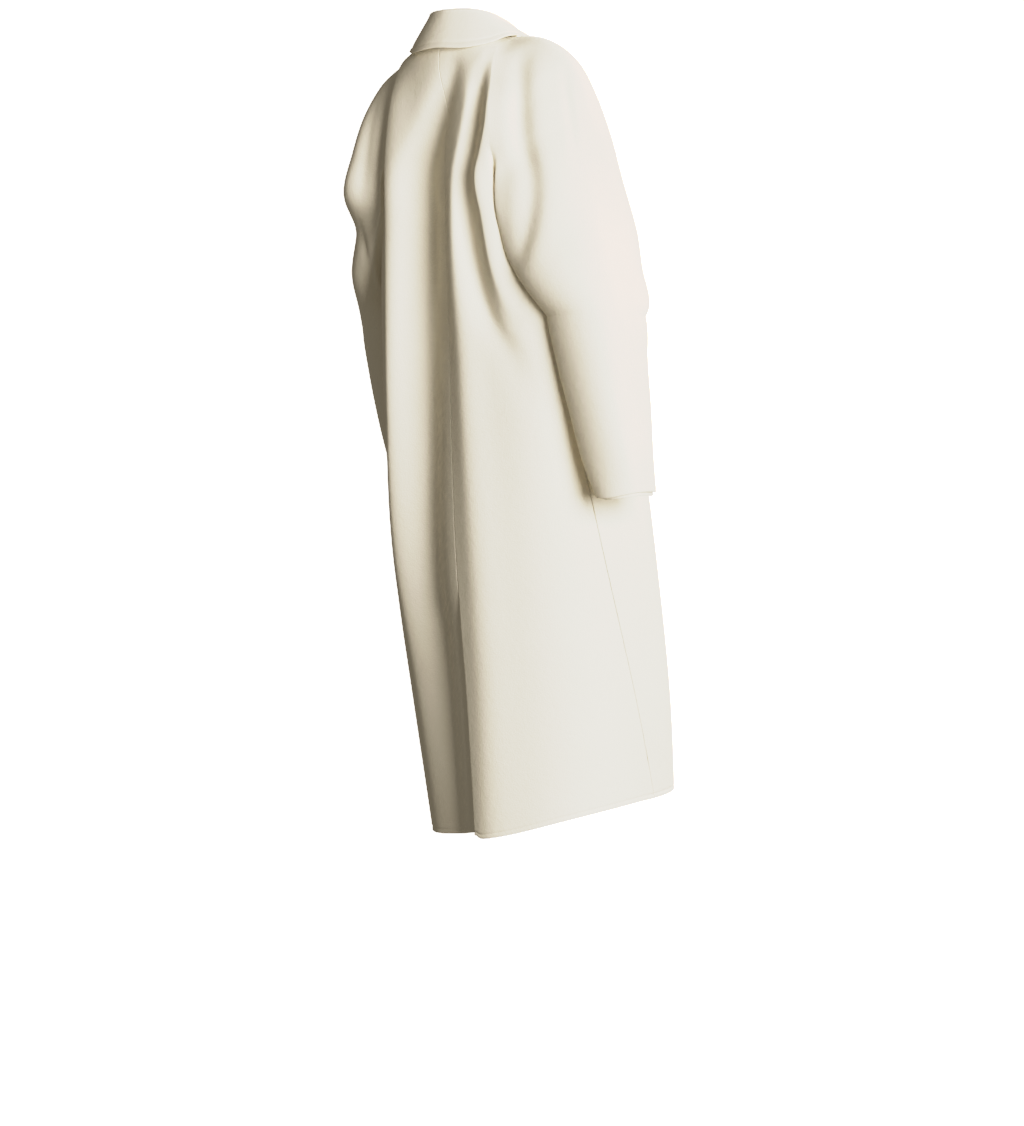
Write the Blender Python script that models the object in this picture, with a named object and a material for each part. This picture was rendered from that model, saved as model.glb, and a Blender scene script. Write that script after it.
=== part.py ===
"""Long double-breasted wool coat with raglan sleeves, worn, as hollow cloth walls in metres.

+Z is up, the wearer faces -Y and the wearer's left is +X. The origin is the middle of the neck opening,
level with the collar seam at the centre back. Each panel is a sheet of points worked out from a short table
of sections and given a wall on its inner side. Drops are measured down from the origin.
"""

import bpy
import numpy as np

WALL = 0.003
SHARP_ANGLE = np.radians(40)
SEAM_GAP = 0.0003
SEAM_MITRE = 0.0012
LEFT, RIGHT = 1, -1
BACK, FRONT = 1, -1

UNDERARM = 0.45
HEM_MEAN = 1.240
HEM_DIP = 0.038
HEM_LOW_ANGLE = np.radians(40)

LAP = 0.090
LAP_LIFT = 0.0055
BREAK = 0.42
GORGE_OUT = 0.056

VENT_TOP = 0.95
VENT_UNDERLAP = 0.040
VENT_STEP = 0.0055
VENT_EASE = 0.06
VENT_PROUD = 0.0015
VENT_HEM_STEP = 0.011

COLLAR_WALL = 0.003
COLLAR_FOOT = 0.0002
COLLAR_ENDS = 138
ROLL_RADIUS = 0.006
LAPEL_WIDTH = 0.095
LAPEL_TOP = 0.028
LAPEL_LEFT_END = 0.231
LAPEL_GAP = 0.0016
LAPEL_ROLL = 0.004
FACING_DEPTH = 0.035
FACING_WALL = 0.002
FACING_GAP = 0.0016
FACING_LIP = 0.006
BUTTON_RADIUS = 0.014
BUTTON_SHANK = 0.004
BUTTON_DISH = 0.010
BUTTON_OUT = 0.060
BUTTON_DROPS = (0.46, 0.575, 0.69)

# Colour and roughness of the felted wool and of the horn-like buttons.
CREAM = ((0.80, 0.77, 0.67, 1.0), 0.92)
HORN = ((0.74, 0.69, 0.57, 1.0), 0.45)


def table(names, *rows):
    """A table as one array for each named column."""
    return dict(zip(names.split(), np.array(rows, float).T))


def through(knots, values, at):
    """A smooth curve through the values at the knots: cubic spans with slopes from both neighbours."""
    steps = np.diff(knots).reshape((-1,) + (1,) * (values.ndim - 1))
    rises = np.diff(values, axis=0) / steps
    slopes = np.concatenate([rises[:1], rises])
    slopes[1:-1] = (rises[:-1] * steps[1:] + rises[1:] * steps[:-1]) / (steps[1:] + steps[:-1])
    span = np.clip(np.searchsorted(knots, at, side="right") - 1, 0, len(steps) - 1)
    width = steps[span]
    t = (at - knots[span]).reshape(width.shape) / width
    start = values[span] * (1 + 2 * t) * (1 - t) ** 2 + slopes[span] * width * t * (1 - t) ** 2
    end = values[span + 1] * t * t * (3 - 2 * t) + slopes[span + 1] * width * t * t * (t - 1)
    return start + end


def rows_at(sections, at):
    """Every column of a table, smoothed and read at the given values of its first column."""
    knots = next(iter(sections.values()))
    return {name: through(knots, values, at) for name, values in sections.items()}


def ramp(low, high, at):
    """A smooth step from 0 at low to 1 at high."""
    t = np.clip((at - low) / (high - low), 0, 1)
    return t * t * (3 - 2 * t)


def bezier(p0, p1, p2, p3, t):
    """Points of a cubic with those four control points, at the shares t of its run."""
    s = 1 - t
    return p0 * s**3 + 3 * p1 * s * s * t + 3 * p2 * s * t * t + p3 * t**3


def stack(x, y, z):
    return np.stack(np.broadcast_arrays(x, y, z), axis=-1)


def unit(v):
    return v / np.linalg.norm(v, axis=-1, keepdims=True)


# Body
# Level sections round the whole body: the cloth's place at the centre back and centre front, the half width,
# and how boxy the section is (2 is an ellipse).
BODY = table(
    "drop back_y front_y half_width boxy",
    (-0.02, 0.066, -0.070, 0.068, 2.1),
    (0.00, 0.070, -0.078, 0.074, 2.1),
    (0.03, 0.076, -0.095, 0.130, 2.1),
    (0.08, 0.076, -0.118, 0.180, 2.2),
    (0.15, 0.072, -0.140, 0.200, 2.3),
    (0.30, 0.060, -0.180, 0.202, 2.6),
    (0.42, 0.055, -0.205, 0.204, 2.9),
    (0.60, 0.049, -0.251, 0.211, 2.8),
    (0.83, 0.035, -0.309, 0.221, 2.4),
    (1.05, 0.008, -0.352, 0.221, 2.3),
    (1.30, -0.015, -0.388, 0.207, 2.3),
)
# Where the raglan seams cross the body down to the underarm, and the side seams below it: distance out from
# the centre plane and place front to back.
SEAM_COLUMNS = "drop out y"
SIDE_RIGHT = table(
    SEAM_COLUMNS,
    (0.45, 0.177, 0.014),
    (0.60, 0.197, -0.018),
    (0.83, 0.215, -0.078),
    (1.05, 0.215, -0.150),
    (1.30, 0.206, -0.240),
)
SIDE_LEFT = table(
    SEAM_COLUMNS,
    (0.45, 0.205, -0.090),
    (0.60, 0.211, -0.105),
    (0.83, 0.221, -0.140),
    (1.05, 0.221, -0.165),
    (1.30, 0.207, -0.190),
)
RAGLAN_BACK_RIGHT = table(
    SEAM_COLUMNS,
    (0.00, 0.069, 0.020),
    (0.05, 0.092, 0.055),
    (0.10, 0.100, 0.062),
    (0.20, 0.104, 0.061),
    (0.30, 0.112, 0.053),
    (0.37, 0.132, 0.042),
    (0.42, 0.158, 0.028),
    (0.45, 0.177, 0.014),
)
RAGLAN_FRONT_RIGHT = table(
    SEAM_COLUMNS,
    (0.00, 0.068, -0.034),
    (0.05, 0.088, -0.085),
    (0.10, 0.097, -0.110),
    (0.20, 0.116, -0.130),
    (0.30, 0.142, -0.128),
    (0.37, 0.178, -0.112),
    (0.41, 0.200, -0.075),
    (0.435, 0.200, -0.025),
    (0.45, 0.177, 0.014),
)
RAGLAN_BACK_LEFT = table(
    SEAM_COLUMNS,
    (0.00, 0.069, 0.020),
    (0.05, 0.100, 0.050),
    (0.10, 0.117, 0.055),
    (0.20, 0.139, 0.046),
    (0.30, 0.157, 0.026),
    (0.38, 0.181, -0.020),
    (0.45, 0.205, -0.090),
)
RAGLAN_FRONT_LEFT = table(
    SEAM_COLUMNS,
    (0.00, 0.068, -0.034),
    (0.05, 0.088, -0.085),
    (0.10, 0.097, -0.110),
    (0.20, 0.112, -0.135),
    (0.30, 0.135, -0.140),
    (0.38, 0.168, -0.128),
    (0.45, 0.205, -0.090),
)

# Folds of the body, each a line down the cloth: place across (x), how far the cloth stands out (rise, minus
# for a trough) and the half widths on its left (+X) and right (-X) sides, at each drop.
FOLD_COLUMNS = "drop x rise left_width right_width"
BACK_FOLDS = (
    # the deep trough beside the centre back, on the wearer's left
    table(
        FOLD_COLUMNS,
        (0.03, 0.010, -0.002, 0.025, 0.032),
        (0.10, 0.024, -0.016, 0.026, 0.038),
        (0.20, 0.050, -0.031, 0.028, 0.046),
        (0.42, 0.060, -0.036, 0.030, 0.047),
        (0.83, 0.094, -0.038, 0.040, 0.056),
        (1.05, 0.092, -0.037, 0.075, 0.053),
        (1.30, 0.085, -0.036, 0.110, 0.050),
    ),
    # the flat crest on that trough's left
    table(
        FOLD_COLUMNS,
        (0.04, 0.098, 0.000, 0.014, 0.030),
        (0.10, 0.106, 0.008, 0.015, 0.036),
        (0.20, 0.116, 0.014, 0.017, 0.044),
        (0.30, 0.118, 0.017, 0.019, 0.046),
        (0.42, 0.120, 0.018, 0.020, 0.046),
        (0.60, 0.127, 0.018, 0.022, 0.046),
        (0.83, 0.132, 0.012, 0.028, 0.040),
        (1.05, 0.128, 0.006, 0.030, 0.040),
        (1.30, 0.120, 0.000, 0.030, 0.040),
    ),
    # the crest that the right panel makes next to the seam
    table(
        FOLD_COLUMNS,
        (0.04, -0.078, 0.003, 0.020, 0.014),
        (0.09, -0.070, 0.009, 0.022, 0.014),
        (0.14, -0.058, 0.012, 0.026, 0.015),
        (0.19, -0.046, 0.013, 0.028, 0.018),
        (0.26, -0.030, 0.014, 0.026, 0.022),
        (0.54, -0.036, 0.012, 0.028, 0.034),
        (0.83, -0.046, 0.010, 0.034, 0.040),
        (1.30, -0.034, 0.006, 0.036, 0.040),
    ),
    # the trough from the neck that turns out towards the underarm
    table(
        FOLD_COLUMNS,
        (0.04, -0.086, 0.000, 0.012, 0.012),
        (0.115, -0.073, -0.005, 0.014, 0.012),
        (0.22, -0.046, -0.009, 0.016, 0.015),
        (0.28, -0.046, -0.011, 0.018, 0.017),
        (0.38, -0.066, -0.010, 0.022, 0.020),
        (0.45, -0.092, -0.008, 0.026, 0.024),
        (0.51, -0.126, -0.004, 0.028, 0.026),
        (0.60, -0.150, 0.000, 0.030, 0.030),
    ),
    # the crest along its right side, which the right sleeve carries on
    table(
        FOLD_COLUMNS,
        (0.03, -0.106, 0.003, 0.014, 0.040),
        (0.083, -0.104, 0.011, 0.015, 0.044),
        (0.156, -0.098, 0.015, 0.016, 0.040),
        (0.215, -0.080, 0.015, 0.017, 0.030),
        (0.296, -0.089, 0.012, 0.017, 0.024),
        (0.398, -0.110, 0.007, 0.018, 0.020),
        (0.46, -0.130, 0.000, 0.018, 0.018),
    ),
)


def fold_rise(folds, x, drop):
    """How far the folds lift the cloth at places x across and the drops."""
    total = np.zeros(np.broadcast(x, drop).shape)
    for fold in folds:
        f = rows_at(fold, np.clip(drop, fold["drop"][0], fold["drop"][-1]))
        off = x - f["x"]
        width = np.where(off > 0, f["left_width"], f["right_width"])
        total = total + f["rise"] * np.exp(-((off / width) ** 2))
    return total


def body_point(angle, drop, extra=0.0):
    """The body's cloth at an angle round from the centre back (plus towards the wearer's left) and a drop,
    moved out by an extra amount."""
    s = rows_at(BODY, drop)
    power = 2 / s["boxy"]
    middle, deep = (s["back_y"] + s["front_y"]) / 2, (s["back_y"] - s["front_y"]) / 2
    x = s["half_width"] * np.sign(np.sin(angle)) * np.abs(np.sin(angle)) ** power
    y = middle + deep * np.sign(np.cos(angle)) * np.abs(np.cos(angle)) ** power
    facing_back = ramp(-0.2, 0.4, np.cos(angle))
    lift = fold_rise(BACK_FOLDS, x, drop) * facing_back + extra
    nx, ny = x / s["half_width"] ** 2, (y - middle) / deep**2
    size = np.hypot(nx, ny) + 1e-9
    return stack(x + lift * nx / size, y + lift * ny / size, -drop)


def seam_angle(raglan, side, drop):
    """The angle round the body of a raglan seam, and below the underarm of the side seam, at each drop."""
    s = rows_at(BODY, drop)
    upper = rows_at(raglan, np.minimum(drop, UNDERARM))
    lower = rows_at(SIDE_LEFT if side == LEFT else SIDE_RIGHT, np.maximum(drop, UNDERARM))
    line = {name: np.where(drop <= UNDERARM, upper[name], lower[name]) for name in upper}
    middle, deep = (s["back_y"] + s["front_y"]) / 2, (s["back_y"] - s["front_y"]) / 2
    half = s["boxy"] / 2
    across = np.clip(line["out"] / s["half_width"], 0, 1) ** half
    along = (line["y"] - middle) / deep
    return side * np.arctan2(across, np.sign(along) * np.abs(along) ** half)


def angle_of(x, drop, facing):
    """The angle round the body at which the back or front cloth lies at x."""
    s = rows_at(BODY, drop)
    share = np.clip(np.abs(x) / s["half_width"], 0, 1) ** (s["boxy"] / 2)
    return np.sign(x) * (np.arcsin(share) if facing == BACK else np.pi - np.arcsin(share))


def hem_drop(angle):
    return HEM_MEAN + HEM_DIP * np.cos(angle - HEM_LOW_ANGLE)


def front_edge(drop):
    """How far past the centre front an edge lies: the lap, and above the break the lapel's roll line."""
    return LAP - (LAP + GORGE_OUT) * np.clip(1 - drop / BREAK, 0, 1)


# Rows of the panels as shares of the way from neck to hem; the underarm is one of them.
ROW_DROPS = np.array([0, 0.02, 0.045, 0.07, 0.095, 0.12, 0.145, 0.17, 0.20, 0.23, 0.26, 0.29, 0.32, 0.35,
                      0.385, 0.42, 0.45, 0.52, 0.60, 0.69, 0.78, 0.88, 0.945, 1.01, 1.10, 1.215])


def panel_grid(first, seam, side, columns, rows):
    """Angles and drops of a body panel, rows down from the neck and columns from its first edge to its seam.
    first gives the edge's angle at the drops."""
    lower = np.clip((rows - UNDERARM) / (rows[-1] - UNDERARM), 0, 1)[:, None]
    ends = np.array([first(rows)[-1], seam_angle(seam, side, rows)[-1]])
    hem = hem_drop(ends[0] + (ends[1] - ends[0]) * columns)
    drop = rows[:, None] + lower * (hem[None, :] - rows[-1])
    start = first(drop[:, 0])[:, None]
    edge = seam_angle(seam, side, drop[:, -1])[:, None]
    return start + (edge - start) * columns[None, :], drop


def back_right_points(columns, rows):
    """The right back panel: its centre edge is the vent's free edge at the bottom, and stands proud there."""
    angle, drop = panel_grid(lambda d: 0 * d, RAGLAN_BACK_RIGHT, RIGHT, columns, rows)
    near = np.exp(-((columns / 0.35) ** 2))[None, :]
    drop = drop + VENT_HEM_STEP * near * ramp(VENT_TOP, rows[-1], drop)
    return body_point(angle, drop, VENT_PROUD * near * ramp(VENT_TOP - VENT_EASE, VENT_TOP, drop))


def back_left_points(columns, rows):
    """The left back panel: below the top of the vent it carries on under the right panel."""
    def first(drop):
        return angle_of(-VENT_UNDERLAP * ramp(VENT_TOP, VENT_TOP + VENT_EASE, drop) - 1e-9, drop, BACK)
    angle, drop = panel_grid(first, RAGLAN_BACK_LEFT, LEFT, columns, rows)
    near = 1 - ramp(0.15, 0.4, columns)[None, :]
    return body_point(angle, drop, -VENT_STEP * near * ramp(VENT_TOP - 0.08, VENT_TOP - 0.01, drop))


def front_lift(x, drop, side):
    """How far a front is lifted to lie over or under the other: only the right front, where the two lap."""
    under = -front_edge(drop)
    return LAP_LIFT * ramp(under - 0.050, under - 0.008, x) * (side == RIGHT)


def front_points(seam, side, columns, rows):
    """A front panel from its edge, past the centre front, to its raglan and side seams."""
    def first(drop):
        past_centre = np.where(front_edge(drop) < 0, 0, side * 2 * np.pi)
        return angle_of(-side * front_edge(drop), drop, FRONT) + past_centre
    angle, drop = panel_grid(first, seam, side, columns, rows)
    flat = body_point(angle, drop)
    return body_point(angle, drop, front_lift(flat[..., 0], drop, side))


# Sleeves
# Each row is one section of a sleeve: the raglan drop it starts from (below the underarm, its own drop), the
# crest on the outside of the arm, the seam under the arm, and for the back and front halves the direction in
# which the cloth leaves the seam (0 straight out, 90 straight back or forward) and the two handle lengths.
SLEEVE_COLUMNS = ("run crest_out crest_y crest_drop seam_out seam_y back_swing back_reach back_full "
                  "front_swing front_reach front_full")
SLEEVE_RIGHT = table(
    SLEEVE_COLUMNS,
    (0.00, 0.075, -0.006, 0.000, 0.177, 0.014, -75, 0.010, 0.010, -75, 0.010, 0.010),
    (0.05, 0.147, -0.004, 0.009, 0.177, 0.014, -35, 0.031, 0.029, -35, 0.030, 0.040),
    (0.10, 0.197, -0.010, 0.040, 0.177, 0.014, -29, 0.045, 0.043, -12, 0.045, 0.050),
    (0.15, 0.225, -0.014, 0.088, 0.177, 0.014, -28, 0.055, 0.046, 0, 0.055, 0.055),
    (0.20, 0.238, -0.017, 0.148, 0.177, 0.014, -15, 0.046, 0.052, 8, 0.060, 0.072),
    (0.26, 0.242, -0.016, 0.222, 0.177, 0.014, 22, 0.034, 0.065, 20, 0.065, 0.090),
    (0.32, 0.256, -0.013, 0.298, 0.177, 0.014, 61, 0.040, 0.081, 30, 0.060, 0.114),
    (0.38, 0.282, -0.010, 0.370, 0.177, 0.014, 88, 0.050, 0.091, 42, 0.050, 0.128),
    (0.45, 0.306, -0.009, 0.450, 0.177, 0.014, 105, 0.054, 0.092, 40, 0.120, 0.135),
    (0.52, 0.315, -0.009, 0.520, 0.194, 0.010, 102, 0.051, 0.089, 55, 0.115, 0.122),
    (0.60, 0.321, -0.015, 0.600, 0.216, 0.000, 96, 0.050, 0.078, 70, 0.105, 0.116),
    (0.68, 0.327, -0.027, 0.680, 0.236, -0.014, 92, 0.049, 0.066, 84, 0.076, 0.100),
    (0.725, 0.325, -0.039, 0.725, 0.250, -0.028, 92, 0.055, 0.058, 90, 0.060, 0.090),
)
SLEEVE_LEFT = table(
    SLEEVE_COLUMNS,
    (0.00, 0.075, -0.006, 0.000, 0.205, -0.090, -75, 0.010, 0.010, -75, 0.010, 0.010),
    (0.05, 0.126, -0.012, 0.022, 0.205, -0.090, -42, 0.028, 0.030, -35, 0.030, 0.040),
    (0.10, 0.177, -0.010, 0.054, 0.205, -0.090, -50, 0.030, 0.038, -12, 0.045, 0.060),
    (0.15, 0.208, 0.000, 0.103, 0.205, -0.090, -62, 0.030, 0.054, 0, 0.060, 0.075),
    (0.20, 0.231, 0.006, 0.165, 0.205, -0.090, -72, 0.032, 0.062, 10, 0.070, 0.085),
    (0.26, 0.254, 0.004, 0.240, 0.205, -0.090, -72, 0.034, 0.070, 20, 0.075, 0.095),
    (0.32, 0.276, -0.108, 0.305, 0.205, -0.090, 24, 0.060, 0.105, 35, 0.080, 0.110),
    (0.38, 0.295, -0.132, 0.375, 0.205, -0.090, 65, 0.080, 0.110, 60, 0.090, 0.115),
    (0.45, 0.326, -0.156, 0.450, 0.205, -0.090, 90, 0.080, 0.115, 90, 0.130, 0.105),
    (0.52, 0.338, -0.174, 0.520, 0.220, -0.140, 90, 0.090, 0.100, 90, 0.110, 0.100),
    (0.60, 0.341, -0.192, 0.600, 0.230, -0.182, 90, 0.085, 0.085, 90, 0.085, 0.085),
    (0.67, 0.340, -0.212, 0.670, 0.241, -0.210, 90, 0.070, 0.070, 90, 0.070, 0.070),
    (0.705, 0.338, -0.222, 0.705, 0.247, -0.222, 90, 0.060, 0.060, 90, 0.060, 0.060),
)


def sleeve_points(sections, back_seam, front_seam, side, runs, shares):
    """A sleeve's grid of points: rows from neck to cuff, columns from the back seam round to the front."""
    s = rows_at(sections, runs)
    under = stack(side * s["seam_out"], s["seam_y"], -runs)
    raglan = np.minimum(runs, UNDERARM)
    joined = (runs <= UNDERARM)[:, None]
    back = np.where(joined, body_point(seam_angle(back_seam, side, raglan), raglan), under)
    front = np.where(joined, body_point(seam_angle(front_seam, side, raglan), raglan), under)
    crest = stack(side * s["crest_out"], s["crest_y"], -s["crest_drop"])

    def half(seam, facing, swing, reach, full, share):
        turn = np.radians(swing)
        leave = stack(side * np.cos(turn), facing * np.sin(turn), 0 * turn)
        start = seam + leave * reach[:, None]
        end = crest + stack(0 * full, facing * full, 0 * full)
        return bezier(seam[:, None], start[:, None], end[:, None], crest[:, None], share[None, :, None])

    to_crest = shares[shares <= 0.5] * 2
    past_crest = 2 - shares[shares > 0.5] * 2
    rear = half(back, BACK, s["back_swing"], s["back_reach"], s["back_full"], to_crest)
    fore = half(front, FRONT, s["front_swing"], s["front_reach"], s["front_full"], past_crest)
    return np.concatenate([rear, fore], axis=1)


# Walls
def pull_in(points, amount):
    """The grid with its two side edges drawn in by the given amount."""
    out = points.copy()
    out[:, 0] += amount * unit(points[:, 1] - points[:, 0])
    out[:, -1] += amount * unit(points[:, -2] - points[:, -1])
    return out


def normals_of(points):
    """Normals of a grid of points: outward where its columns run round to the wearer's right."""
    down = np.gradient(points, axis=0)
    along = np.gradient(points, axis=1)
    return unit(np.cross(down, along))


def wall(name, points, finish, thickness=WALL, mitre=0.0):
    """A closed solid from a grid of outer points: the inner face lies one wall further in, and its two side
    edges are drawn in by the mitre."""
    rows, cols = points.shape[:2]
    inside = pull_in(points - normals_of(points) * thickness, mitre)
    verts = np.concatenate([points.reshape(-1, 3), inside.reshape(-1, 3)])
    index = np.arange(rows * cols).reshape(rows, cols)
    inner = index + rows * cols
    outer_faces = np.stack([index[:-1, :-1], index[1:, :-1], index[1:, 1:], index[:-1, 1:]], -1)
    inner_faces = np.stack([inner[:-1, :-1], inner[:-1, 1:], inner[1:, 1:], inner[1:, :-1]], -1)
    rim = np.concatenate([index[0, :-1], index[:-1, -1], index[-1, :0:-1], index[:0:-1, 0]])
    following = np.roll(rim, -1)
    rim_faces = np.stack([rim, following, following + rows * cols, rim + rows * cols], -1)
    faces = np.concatenate([outer_faces.reshape(-1, 4), inner_faces.reshape(-1, 4), rim_faces])
    return solid(name, verts, faces, finish)


def solid(name, verts, faces, finish):
    """An object from points and faces with its own material, shaded smooth but for its sharp edges."""
    mesh = bpy.data.meshes.new(name)
    mesh.from_pydata(verts.tolist(), [], [list(face) for face in faces])
    mesh.update()
    mesh.shade_smooth()
    mesh.set_sharp_from_angle(angle=SHARP_ANGLE)
    part = bpy.data.objects.new(name, mesh)
    bpy.context.scene.collection.objects.link(part)
    material = bpy.data.materials.new(name + "_material")
    material.use_nodes = True
    surface = material.node_tree.nodes["Principled BSDF"].inputs
    surface["Base Color"].default_value, surface["Roughness"].default_value = finish
    surface["Metallic"].default_value = 0.0
    mesh.materials.append(material)
    return part


# Collar, lapels, facings and buttons
# The collar's section at places round the neck: the angle from the centre back in degrees, the height where
# it rolls over, how far in it leans there, and its outer edge's distance out and height.
COLLAR = table(
    "angle roll_up roll_in edge_out edge_up",
    (0, 0.043, 0.016, 0.021, -0.021),
    (40, 0.042, 0.018, 0.022, -0.018),
    (75, 0.036, 0.020, 0.022, 0.003),
    (100, 0.028, 0.018, 0.025, 0.003),
    (125, 0.018, 0.010, 0.033, -0.005),
    (COLLAR_ENDS, 0.014, 0.004, 0.036, -0.013),
)


def collar_points(places, shares):
    """The collar's outer face: up the stand from the neck seam, over the roll and down the fall."""
    s = rows_at(COLLAR, np.abs(np.degrees(places)))
    seam = body_point(places, 0 * places)
    up = np.array([0.0, 0.0, 1.0])
    out = unit(np.cross(up, np.gradient(seam, axis=0)))
    top, lean, r = s["roll_up"], s["roll_in"], ROLL_RADIUS
    fall_out, fall_up = 2 * r - lean, top - r
    section = (
        (0.00, 0 * top - COLLAR_WALL, 0 * top + COLLAR_FOOT),
        (0.15, -COLLAR_WALL - 0.5 * lean, 0.40 * (top - r)),
        (0.30, -lean, top - r),
        (0.36, r * 0.3 - lean, top - 0.3 * r),
        (0.42, r - lean, top),
        (0.48, r * 1.7 - lean, top - 0.3 * r),
        (0.56, fall_out, fall_up),
        (0.71, fall_out + 0.35 * (s["edge_out"] - fall_out), fall_up + 0.33 * (s["edge_up"] - fall_up)),
        (0.86, fall_out + 0.69 * (s["edge_out"] - fall_out), fall_up + 0.67 * (s["edge_up"] - fall_up)),
        (1.00, s["edge_out"], s["edge_up"]),
    )
    knots = np.array([row[0] for row in section])
    sideways = through(knots, np.array([row[1] for row in section]), shares)
    height = through(knots, np.array([row[2] for row in section]), shares)
    return seam[:, None] + out[:, None] * sideways.T[..., None] + up * height.T[..., None]


def lapel_points(side, columns, rows):
    """A lapel: the front's own points from the roll line outwards, lifted off it. The left one stops at the
    right front's edge, which lies over it."""
    deepest = BREAK - 0.006 if side == RIGHT else LAPEL_LEFT_END
    drop = LAPEL_TOP + (deepest - LAPEL_TOP) * rows
    seam = rows_at(RAGLAN_FRONT_RIGHT, drop)["out"] - 0.006
    edge = front_edge(drop)
    width = LAPEL_WIDTH * (1 - np.clip(drop / BREAK, 0, 1)) ** 0.7 + 0.002
    outer = np.minimum(width - edge, seam)
    inner = -edge if side == RIGHT else np.maximum(-edge, np.minimum(edge + 0.003, outer - 0.003))
    x = side * (inner[:, None] + (outer - inner)[:, None] * columns[None, :])
    drop = drop[:, None] + 0 * columns[None, :]
    angle = angle_of(x, drop, FRONT)
    roll = LAPEL_ROLL * np.sin(np.pi * columns[None, :]) * (1 - rows[:, None])
    return body_point(angle, drop, WALL + LAPEL_GAP + front_lift(x, drop, side) + roll)


# A button's outline from its shank up to its dished face: radius and height off the cloth.
BUTTON_PROFILE = (
    (BUTTON_SHANK, 0.0004),
    (BUTTON_SHANK, 0.0016),
    (BUTTON_RADIUS - 0.001, 0.0016),
    (BUTTON_RADIUS, 0.0026),
    (BUTTON_RADIUS, 0.0046),
    (BUTTON_RADIUS - 0.001, 0.0056),
    (BUTTON_DISH, 0.0052),
)


def lathe(name, profile, place, towards, finish, steps=14):
    """A turned solid from (radius, height) pairs, its height along towards."""
    turns = np.arange(steps) / steps * 2 * np.pi
    side = unit(np.cross(towards, np.array([0.0, 0.0, 1.0])))
    up = np.cross(towards, side)
    rings = [place + r * (np.cos(turns)[:, None] * side + np.sin(turns)[:, None] * up) + h * towards
             for r, h in profile]
    verts = np.concatenate(rings)
    index = np.arange(len(verts)).reshape(len(profile), steps)
    after = np.roll(index, -1, axis=1)
    faces = np.stack([index[:-1], after[:-1], after[1:], index[1:]], -1).reshape(-1, 4).tolist()
    faces += [index[0, ::-1].tolist(), index[-1].tolist()]
    return solid(name, verts, faces, finish)


for old in list(bpy.data.objects):
    bpy.data.objects.remove(old)

COLUMNS = np.linspace(0, 1, 15)
BACK_COLUMNS = np.concatenate([np.linspace(0, 0.7, 15), np.linspace(0.7, 1, 5)[1:]])
for name, points in (
    ("back_right", back_right_points(BACK_COLUMNS, ROW_DROPS)),
    ("back_left", back_left_points(BACK_COLUMNS, ROW_DROPS)[:, ::-1]),
    ("front_right", front_points(RAGLAN_FRONT_RIGHT, RIGHT, COLUMNS, ROW_DROPS)[:, ::-1]),
    ("front_left", front_points(RAGLAN_FRONT_LEFT, LEFT, COLUMNS, ROW_DROPS)),
):
    wall(name, pull_in(points, SEAM_GAP / 2), CREAM, mitre=SEAM_MITRE)

ABOVE = ROW_DROPS[ROW_DROPS <= UNDERARM]
SHARES = np.linspace(0, 1, 21)
for word, sections, back_seam, front_seam, side in (
    ("right", SLEEVE_RIGHT, RAGLAN_BACK_RIGHT, RAGLAN_FRONT_RIGHT, RIGHT),
    ("left", SLEEVE_LEFT, RAGLAN_BACK_LEFT, RAGLAN_FRONT_LEFT, LEFT),
):
    cuff = sections["run"][-1]
    runs = np.concatenate([ABOVE, np.linspace(UNDERARM, cuff, 8)[1:]])
    points = pull_in(sleeve_points(sections, back_seam, front_seam, side, runs, SHARES), SEAM_GAP / 2)
    wall("sleeve_" + word, points[:, ::-side], CREAM, mitre=SEAM_MITRE)
    runs = np.linspace(cuff - FACING_DEPTH, cuff, 4)
    points = pull_in(sleeve_points(sections, back_seam, front_seam, side, runs, SHARES), 0.001)[:, ::-side]
    points = points - normals_of(points) * (WALL + FACING_GAP)
    points[-1, :, 2] -= FACING_LIP * (0.5 - 0.5 * np.cos(2 * np.pi * SHARES))
    wall("cuff_facing_" + word, points, CREAM, FACING_WALL)
    points = lapel_points(side, np.linspace(0, 1, 7), np.linspace(0, 1, 13))
    wall("lapel_" + word, points[:, ::side], CREAM)

places = np.radians(np.linspace(-COLLAR_ENDS, COLLAR_ENDS, 25))
shares = np.array([0, 0.15, 0.30, 0.36, 0.42, 0.48, 0.56, 0.71, 0.86, 1])
wall("collar", collar_points(places, shares), CREAM, COLLAR_WALL)

number = 0
for drop in BUTTON_DROPS:
    for out in (-BUTTON_OUT, BUTTON_OUT):
        number += 1
        down = np.array([drop])
        x = np.array([out])
        angle = angle_of(x, down, FRONT)
        seat = body_point(angle, down, front_lift(x, down, RIGHT))[0]
        beside = body_point(angle + 0.01, down, front_lift(x, down, RIGHT))[0]
        below = body_point(angle, down + 0.005, front_lift(x, down, RIGHT))[0]
        towards = unit(np.cross(beside - seat, below - seat))
        towards = towards * -np.sign(towards[1])
        lathe("button_%d" % number, BUTTON_PROFILE, seat, towards, HORN)
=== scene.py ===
"""The looks of a long double-breasted coat of ivory felted wool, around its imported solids.

Metres; +Z is up, the coat's front faces -Y and its own left is +X. Drops are measured down from the neck seam
at the centre back. Angles round the body start at the centre back and grow towards the coat's left.
"""

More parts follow.
